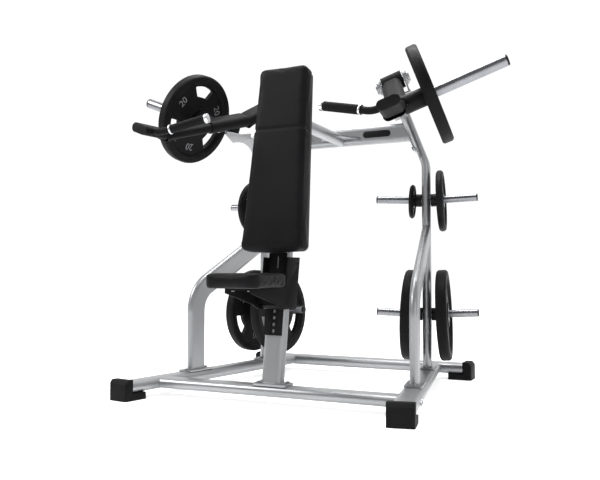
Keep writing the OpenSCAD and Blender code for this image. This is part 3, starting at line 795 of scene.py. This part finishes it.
def make_grip(side, sign):
    """Ribbed rubber sleeve between an aluminium collar and an aluminium end cap."""
    node = "grip_" + side
    middle, axis, length = long_axis(node, (-sign, 0, 0))
    outer, inner = 0.0195, 0.0151
    chamfer, land = 0.001, 0.008
    valley = outer - 0.0011
    ribs = 22
    pitch = (length - 2 * land) / ribs
    profile = [(inner, 0), (outer - chamfer, 0), (outer, chamfer), (outer, land - chamfer)]
    for i in range(ribs):
        z = land + i * pitch
        profile += [(valley, z), (valley, z + pitch * 0.35),
                    (outer, z + pitch * 0.5), (outer, z + pitch * 0.85)]
    profile += [(outer, length - chamfer), (outer - chamfer, length), (inner, length)]
    sleeve = lathe("grip_sleeve_" + side, profile, 48)
    smooth(sleeve, 45)
    place(sleeve, axes_at(middle - axis * length / 2, up_across(axis), axis))
    adopt(sleeve, node)
    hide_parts(node)
    softened_copy("grip_rings_" + side, 0.0012)


# ---------- Weld beads ----------


def weld_bead(node):
    """Rippled fillet weld where a standing tube meets its base plate."""
    bead = bpy.data.objects.new(node + "_weld", nodes[node].data.copy())
    bpy.context.collection.objects.link(bead)
    edit_all(bead)
    bpy.ops.mesh.remove_doubles(threshold=CAD_MERGE)
    bpy.ops.mesh.select_all(action="SELECT")
    bpy.ops.mesh.bisect(plane_co=(0, 0, WELD_Z), plane_no=(0, 0, 1), clear_inner=True, clear_outer=True)
    object_mode()
    modify(bead, "SUBSURF", levels=2, render_levels=2, subdivision_type="SIMPLE")
    bpy.ops.object.convert(target="CURVE")
    bead = bpy.context.object
    bead.data.bevel_depth = WELD_R
    bead.data.bevel_resolution = 2
    bpy.ops.object.convert(target="MESH")
    bead = new_piece(node + "_weld")
    for vertex in bead.data.vertices:
        ripple = math.sin(RIPPLE_RATE * vertex.co.x) + math.sin(RIPPLE_RATE * vertex.co.y)
        vertex.co.z += RIPPLE * ripple
    smooth(bead, 60)
    adopt(bead, node)


# ---------- Knob of the seat pin ----------


def make_pin_knob():
    """Black pin with a fluted knob that a hand pulls."""
    middle, axis, length = long_axis("pull_pin", (0, -1, 0))
    pin, collar, knob = 0.008, 0.007, 0.016
    flutes, flute_depth, fluted_from = 10, 0.07, 0.0125
    start = length - 0.030
    profile = [(0.0001, 0), (pin - 0.001, 0), (pin, 0.001), (pin, start), (collar, start + 0.001),
               (collar, start + 0.007), (knob - 0.003, start + 0.008), (knob, start + 0.011),
               (knob, length - 0.004), (knob - 0.003, length - 0.001), (knob - 0.006, length),
               (0.0001, length)]
    piece = lathe("pull_pin_knob", profile, 96)
    for vertex in piece.data.vertices:
        r = math.hypot(vertex.co.x, vertex.co.y)
        if r > fluted_from and vertex.co.z > start:
            turned = math.atan2(vertex.co.y, vertex.co.x)
            flute = 1 - flute_depth * max(0.0, math.cos(flutes * turned))
            vertex.co.x *= flute
            vertex.co.y *= flute
    smooth(piece, 40)
    place(piece, axes_at(middle - axis * length / 2, (1, 0, 0), axis))
    adopt(piece, "pull_pin")
    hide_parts("pull_pin")


# ---------- Stage ----------


def make_stage():
    clear_selection()
    bpy.ops.mesh.primitive_plane_add(size=FLOOR_SIZE)
    floor = new_piece("studio_floor")
    finish_with(floor, studio_floor())


def area_light(name, place_at, size, power):
    data = bpy.data.lights.new(name, "AREA")
    data.size = size
    data.energy = power
    lamp = bpy.data.objects.new(name, data)
    bpy.context.collection.objects.link(lamp)
    lamp.location = place_at
    lamp.rotation_mode = "QUATERNION"
    lamp.rotation_quaternion = (LIGHTS_AIM - Vector(place_at)).to_track_quat("-Z", "Y")


def make_lights():
    world = bpy.data.worlds.new("studio")
    world.use_nodes = True
    tree = world.node_tree
    tree.nodes.clear()
    # Bright wall behind the machine, dim room in front of it
    aim = add_node(tree, "SeparateXYZ", {0: add_node(tree, "TexCoord").outputs["Generated"]})
    wall = add_node(tree, "MapRange", {"Value": aim.outputs["Y"], "From Min": -0.1, "From Max": 0.5,
                                       "To Min": NEAR_DARK, "To Max": FAR_BRIGHT})
    sky = add_node(tree, "Background", {"Color": (1, 1, 1, 1), "Strength": wall.outputs["Result"]})
    add_node(tree, "OutputWorld", {"Surface": sky.outputs[0]})
    bpy.context.scene.world = world
    area_light("key", (-3.6, -2.6, 4.4), size=2.2, power=210)
    area_light("fill", (4.4, -3.2, 2.4), size=3.0, power=40)
    area_light("top", (0, 0.5, 5.0), size=3.0, power=240)


def make_camera():
    data = bpy.data.cameras.new("camera")
    data.lens = CAMERA_LENS
    data.sensor_width = CAMERA_SENSOR
    camera = bpy.data.objects.new("camera", data)
    bpy.context.collection.objects.link(camera)
    camera.location = CAMERA_AT
    camera.rotation_euler = (math.radians(90 + CAMERA_PITCH), 0, math.radians(CAMERA_YAW))
    bpy.context.scene.camera = camera


# ---------- Assembly ----------

make_camera()
bpy.context.scene.view_settings.view_transform = "Standard"
NUMERAL_PAINT = numeral_paint()
coat_cad_nodes()
make_plates()
make_back_pad()
make_seat_pad()
for cad_node, edge_radius in EDGE_RADII.items():
    softened_copy(cad_node, edge_radius)
for side_name, side_sign in SIDES:
    make_grip(side_name, side_sign)
for tube_node in ("upright_right", "upright_left", "brace_right", "brace_left", "seat_post"):
    weld_bead(tube_node)
make_pin_knob()
make_stage()
make_lights()
